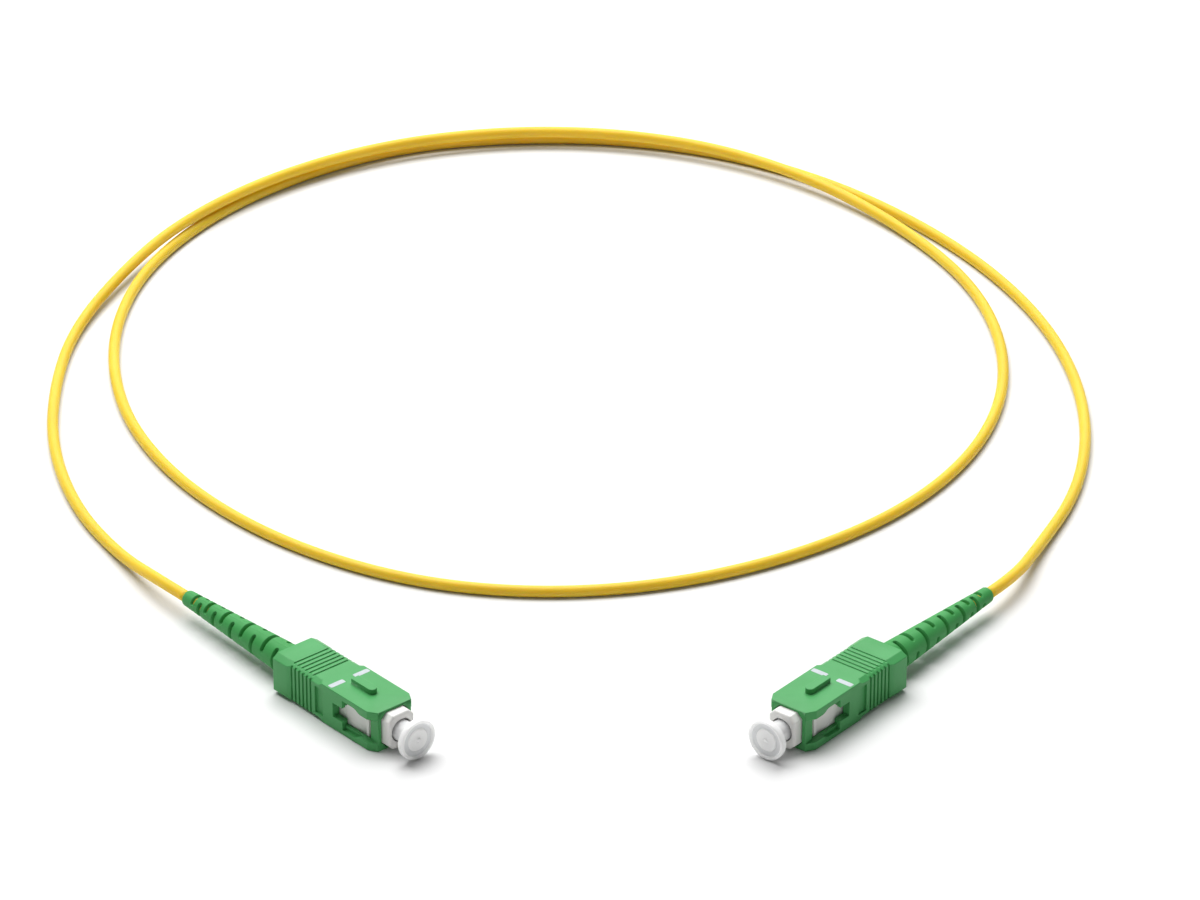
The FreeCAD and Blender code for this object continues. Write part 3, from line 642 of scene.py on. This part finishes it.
def milky_clear():
    """Soft milky plastic of the cap: some light passes through it, with faint flow clouds. Where
    its point attribute marks it, the colour is painted cooler and greyer: painted shade on the
    neck and a painted cool reflection in the ring of its front."""
    material, nodes, links, shader, place = material_base("milky_clear")
    at = place.outputs["Object"]
    flow = clouds(nodes, links, at, scale=420.0, detail=3.0)
    fine = clouds(nodes, links, at, scale=3200.0, detail=3.0)
    tone = spread(nodes, links, flow, low=0.0, high=1.0)
    cloud = tint(nodes, links, tone, dark=(0.89, 0.89, 0.88), light=(0.93, 0.93, 0.92))
    # Painted shade and painted reflection: the base colour turns to a cool grey where the point
    # attribute marks the cap's neck and the ring of its front
    painted_light_mask = nodes.new("ShaderNodeAttribute")
    painted_light_mask.attribute_name = "painted_light"
    painted_light_tint = nodes.new("ShaderNodeMix")
    painted_light_tint.data_type = "RGBA"
    painted_light_tint.inputs["B"].default_value = (0.52, 0.535, 0.555, 1.0)
    links.new(cloud, painted_light_tint.inputs["A"])
    links.new(painted_light_mask.outputs["Fac"], painted_light_tint.inputs["Factor"])
    links.new(painted_light_tint.outputs["Result"], shader.inputs["Base Color"])
    links.new(spread(nodes, links, fine, low=0.2, high=0.28), shader.inputs["Roughness"])
    shader.inputs["Subsurface Weight"].default_value = 1.0
    shader.inputs["Subsurface Radius"].default_value = (1.0, 1.0, 1.0)
    shader.inputs["Subsurface Scale"].default_value = 0.0016
    shader.inputs["IOR"].default_value = 1.45
    grain(nodes, links, shader, fine, strength=0.02, distance=0.00001)
    return material


def turned_metal(name, dark, light, rough, marks_mm):
    """Machined or plated metal: fine tool marks of the given size in mm, and a faint stain."""
    material, nodes, links, shader, place = material_base(name)
    at = place.outputs["Object"]
    stain = clouds(nodes, links, at, scale=300.0, detail=3.0)
    marks = clouds(nodes, links, at, scale=1000.0 / marks_mm, detail=2.0)
    tone = spread(nodes, links, stain, low=0.0, high=1.0)
    links.new(tint(nodes, links, tone, dark, light), shader.inputs["Base Color"])
    links.new(spread(nodes, links, marks, *rough), shader.inputs["Roughness"])
    grain(nodes, links, shader, marks, strength=0.15, distance=0.00001)
    shader.inputs["Metallic"].default_value = 1.0
    return material


def yarn_gold():
    """Aramid yarn: golden, dull and full of fine filaments."""
    material, nodes, links, shader, place = material_base("yarn_gold")
    strands = clouds(nodes, links, place.outputs["Object"], scale=5200.0, detail=5.0,
                     roughness=0.7)
    tone = spread(nodes, links, strands, low=0.0, high=1.0)
    links.new(tint(nodes, links, tone, dark=(0.42, 0.30, 0.08), light=(0.75, 0.60, 0.22)),
              shader.inputs["Base Color"])
    shader.inputs["Roughness"].default_value = 0.55
    shader.inputs["Sheen Weight"].default_value = 0.3
    grain(nodes, links, shader, strands, strength=0.5, distance=0.00005)
    return material


def studio_paper():
    """Seamless white studio paper, a little uneven in tone."""
    material, nodes, links, shader, place = material_base("studio_paper")
    tone = clouds(nodes, links, place.outputs["Object"], scale=3.0, detail=2.0)
    links.new(tint(nodes, links, tone, dark=(PAPER_TONE,) * 3, light=(PAPER_TONE + 0.01,) * 3),
              shader.inputs["Base Color"])
    shader.inputs["Roughness"].default_value = 0.95
    shader.inputs["Specular IOR Level"].default_value = 0.1
    return material


def finishes():
    """All the materials of the part, by the name of the record's slot that each one stands for.
    The paint of the index marks has no slot of its own."""
    made = {}
    made["green_shell"], shell = moulded(
        "shell_green", dark=(0.066, 0.33, 0.098), light=(0.078, 0.36, 0.116),
        rough=(0.28, 0.40), cloud_mm=6.0, grain_mm=0.22, strength=0.10)
    shell.inputs["Specular IOR Level"].default_value = 0.18
    made["boot_green"], rubber = moulded(
        "boot_green", dark=(0.049, 0.30, 0.074), light=(0.060, 0.33, 0.090),
        rough=(0.44, 0.58), cloud_mm=4.0, grain_mm=0.3, strength=0.14)
    rubber.inputs["Specular IOR Level"].default_value = 0.18
    made["white_frame"], nylon = moulded(
        "frame_white", dark=(0.79, 0.78, 0.755), light=(0.84, 0.83, 0.805),
        rough=(0.34, 0.46), cloud_mm=3.0, grain_mm=0.2, strength=0.08)
    nylon.inputs["Subsurface Weight"].default_value = 0.08
    nylon.inputs["Subsurface Radius"].default_value = (1.0, 0.9, 0.8)
    nylon.inputs["Subsurface Scale"].default_value = 0.0004
    made["rear_plastic"], _ = moulded(
        "rear_grey", dark=(0.42, 0.43, 0.43), light=(0.5, 0.5, 0.5),
        rough=(0.4, 0.52), cloud_mm=3.0, grain_mm=0.2, strength=0.1)
    made["ceramic"], ceramic = moulded(
        "ferrule_ceramic", dark=(0.80, 0.79, 0.76), light=(0.86, 0.85, 0.82),
        rough=(0.10, 0.16), cloud_mm=1.2, grain_mm=0.12, strength=0.02)
    ceramic.inputs["Coat Weight"].default_value = 0.3
    ceramic.inputs["Coat Roughness"].default_value = 0.05
    made["buffer"], _ = moulded(
        "buffer_white", dark=(0.72, 0.72, 0.68), light=(0.8, 0.8, 0.76),
        rough=(0.4, 0.5), cloud_mm=2.0, grain_mm=0.15, strength=0.08)
    made["mark_paint"], _ = moulded(
        "mark_paint", dark=(0.46, 0.51, 0.54), light=(0.52, 0.57, 0.60),
        rough=(0.4, 0.55), cloud_mm=0.8, grain_mm=0.12, strength=0.15)
    made["glass_fibre"], glass = moulded(
        "fibre_glass", dark=(0.95, 0.96, 0.97), light=(0.98, 0.99, 1.0),
        rough=(0.02, 0.05), cloud_mm=0.5, grain_mm=0.05, strength=0.01)
    glass.inputs["Transmission Weight"].default_value = 0.9
    glass.inputs["IOR"].default_value = 1.46
    made["flange_metal"] = turned_metal(
        "flange_nickel", dark=(0.55, 0.53, 0.49), light=(0.62, 0.60, 0.56),
        rough=(0.22, 0.36), marks_mm=0.25)
    made["spring_steel"] = turned_metal(
        "spring_steel", dark=(0.50, 0.50, 0.50), light=(0.58, 0.58, 0.57),
        rough=(0.25, 0.4), marks_mm=0.12)
    made["crimp_metal"] = turned_metal(
        "crimp_brass", dark=(0.62, 0.55, 0.42), light=(0.70, 0.63, 0.50),
        rough=(0.28, 0.42), marks_mm=0.3)
    made["yarn"] = yarn_gold()
    made["cap_plastic"] = milky_clear()
    made["yellow_jacket"] = jacket_yellow()
    return made


def softbox(name, place, aim, size, watts):
    """Flat soft light of the given width and height at a place, turned towards a point."""
    data = bpy.data.lights.new(name, "AREA")
    data.shape = "RECTANGLE"
    data.size, data.size_y = size
    data.energy = watts
    light = bpy.data.objects.new(name, data)
    light.location = place
    look = Vector(aim) - Vector(place)
    light.rotation_euler = look.to_track_quat("-Z", "Y").to_euler()
    bpy.context.scene.collection.objects.link(light)


# Camera
camera_data = bpy.data.cameras.new("camera")
camera_data.sensor_width = 36.0
camera_data.lens = CAMERA_LENS
camera_data.clip_start = 0.05
camera_data.clip_end = 20.0
camera = bpy.data.objects.new("camera", camera_data)
camera.location = CAMERA_PLACE
camera.rotation_euler = (math.radians(90.0 - CAMERA_TILT), 0.0, 0.0)
bpy.context.scene.collection.objects.link(camera)
bpy.context.scene.camera = camera

# Cord
line = cord_line()
cord = cord_tube("cord_jacket", line, CORD_RADIUS / 1000.0, 40)
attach(cord, "cord_and_frames")
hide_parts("cord")

# Finishes of the solids that are shown as they are
finish = finishes()
cord.data.materials.append(finish["yellow_jacket"])
slot_of = {s["node"]: s["material_slot"] for s in frame["record"]["subparts"]}
for node, solid in frame["nodes"].items():
    for slot in solid.material_slots:
        slot.material = finish[slot_of[node]]

# Pieces of each plug
for side in SIDES:
    shell = eased_copy(side + "_grip_shell", side, side + "_grip_housing", housing_rounding,
                       HOUSING_EASE)
    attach(shell, side + "_grip")
    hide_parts(side + "_grip_housing")
    inner = eased_copy(side + "_frame_shell", side, side + "_plug_frame", frame_rounding,
                       FRAME_EASE)
    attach(inner, "cord_and_frames")
    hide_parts(side + "_plug_frame")
    sleeve = boot_sleeve(side + "_boot_sleeve", side, 192)
    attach(sleeve, "cord_and_frames")
    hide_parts(side + "_boot")
    cap = turned_piece(side + "_cap_turned", side, rounded_section(CAP_SECTION, 6), 96)
    # Marks where the cap's colour gets painted shade on its neck and a painted cool reflection in
    # its front ring
    mark_painted_light(cap, side)
    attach(cap, side + "_cap")
    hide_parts(side + "_dust_cap")
    spring = spring_copy(side + "_spring_coil", side)
    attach(spring, "cord_and_frames")
    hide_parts(side + "_ferrule_spring")
    marks = [index_mark(side + "_mark_" + word, side, hand, 64)
             for word, hand in (("near", 1.0), ("far", -1.0))]
    for piece, slot in ((shell, "green_shell"), (inner, "white_frame"), (sleeve, "boot_green"),
                        (cap, "cap_plastic"), (spring, "spring_steel")):
        piece.data.materials.clear()
        piece.data.materials.append(finish[slot])
    for mark in marks:
        mark.data.materials.append(finish["mark_paint"])
        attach(mark, side + "_grip")

# Floor and light
floor = add_mesh("floor", [(-PAPER_HALF, -PAPER_HALF, 0.0), (PAPER_HALF, -PAPER_HALF, 0.0),
                           (PAPER_HALF, PAPER_HALF, 0.0), (-PAPER_HALF, PAPER_HALF, 0.0)],
                 [(0, 1, 2, 3)], smooth=False)
floor.data.materials.append(studio_paper())

world = bpy.data.worlds.new("studio")
world.use_nodes = True
world.node_tree.nodes["Background"].inputs["Color"].default_value = (1.0, 1.0, 1.0, 1.0)
world.node_tree.nodes["Background"].inputs["Strength"].default_value = SKY_STRENGTH
bpy.context.scene.world = world
bpy.context.scene.view_settings.view_transform = "Standard"

softbox("overhead", place=(-0.18, 0.50, 1.15), aim=(0.0, 0.06, 0.0), size=(1.4, 0.9), watts=25.0)
softbox("behind", place=(0.0, 1.30, 0.65), aim=(0.0, 0.0, 0.0), size=(1.8, 0.6), watts=6.0)
